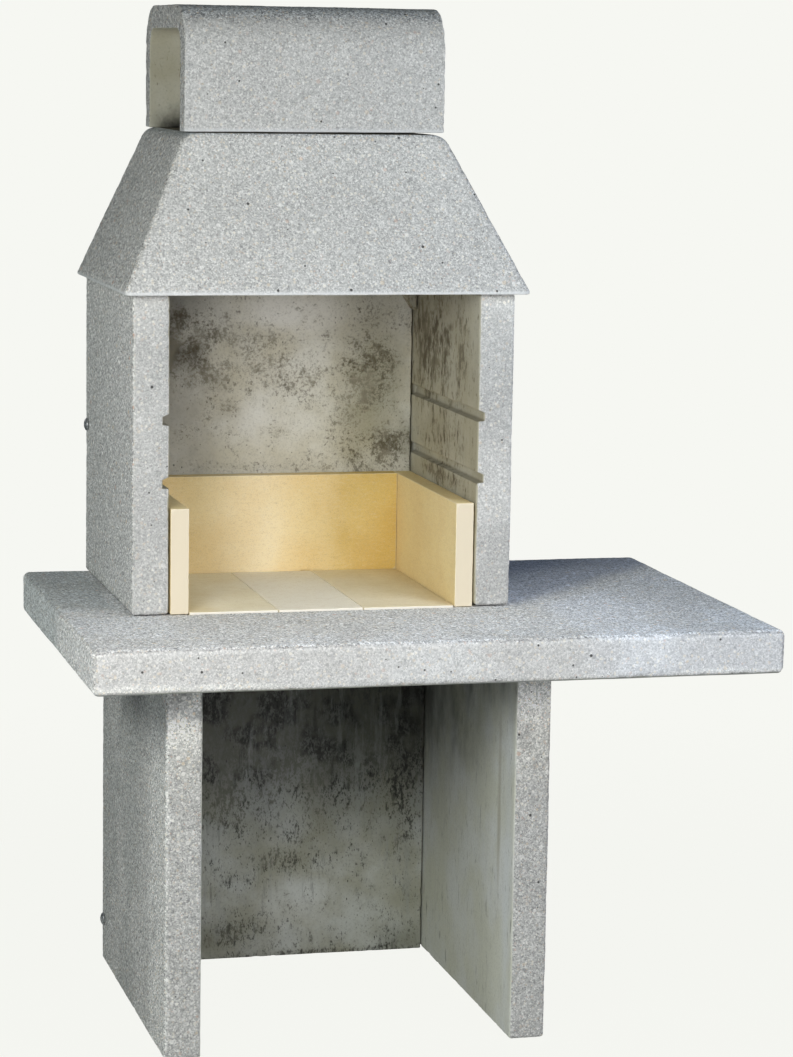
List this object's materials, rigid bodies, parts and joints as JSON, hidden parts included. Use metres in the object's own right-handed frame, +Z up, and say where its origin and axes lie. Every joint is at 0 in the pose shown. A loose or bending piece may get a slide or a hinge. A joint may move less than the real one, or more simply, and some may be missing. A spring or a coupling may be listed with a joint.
{
  "type": "outdoor masonry barbecue",
  "caption": "Free-standing barbecue of cast concrete elements: open base, worktop with side shelf, firebrick-lined hearth with grate grooves, tapered hood and open chimney cap.",
  "frame": {"origin": "on the ground, under the middle of the worktop slab's outline", "axes": "+X towards the side shelf, +Y towards the rear, +Z up; -Y faces the cook"},
  "size_m": [1.195, 0.823, 1.789],
  "materials": {
    "washed_concrete": "light grey exposed-aggregate concrete",
    "slab_concrete": "blue-grey exposed-aggregate concrete",
    "cast_concrete": "smooth cast concrete with stains and pores",
    "firebrick": "matt cream firebrick",
    "firebrick_rear": "matt yellow firebrick",
    "zinc_steel": "zinc-plated"
  },
  "bodies": {
    "root": {"base_wall_left": "washed_concrete", "base_wall_right": "washed_concrete", "base_back_panel": "cast_concrete", "tabletop": "slab_concrete", "hearth_wall_left": "washed_concrete", "hearth_wall_right": "washed_concrete", "hearth_back_panel": "cast_concrete", "side_firebrick_left": "firebrick", "side_firebrick_right": "firebrick", "back_firebrick": "firebrick_rear", "floor_firebrick_left": "firebrick", "floor_firebrick_middle": "firebrick", "floor_firebrick_right": "firebrick", "hood": "washed_concrete", "chimney_cap": "washed_concrete", "base_left_lower_bolt": "zinc_steel", "base_left_lower_washer": "zinc_steel", "base_left_lower_sleeve": "zinc_steel", "base_left_upper_bolt": "zinc_steel", "base_left_upper_washer": "zinc_steel", "base_left_upper_sleeve": "zinc_steel", "base_right_lower_bolt": "zinc_steel", "base_right_lower_washer": "zinc_steel", "base_right_lower_sleeve": "zinc_steel", "base_right_upper_bolt": "zinc_steel", "base_right_upper_washer": "zinc_steel", "base_right_upper_sleeve": "zinc_steel", "hearth_left_bolt": "zinc_steel", "hearth_left_washer": "zinc_steel", "hearth_left_sleeve": "zinc_steel", "hearth_right_bolt": "zinc_steel", "hearth_right_washer": "zinc_steel", "hearth_right_sleeve": "zinc_steel"}
  },
  "joints": []
}
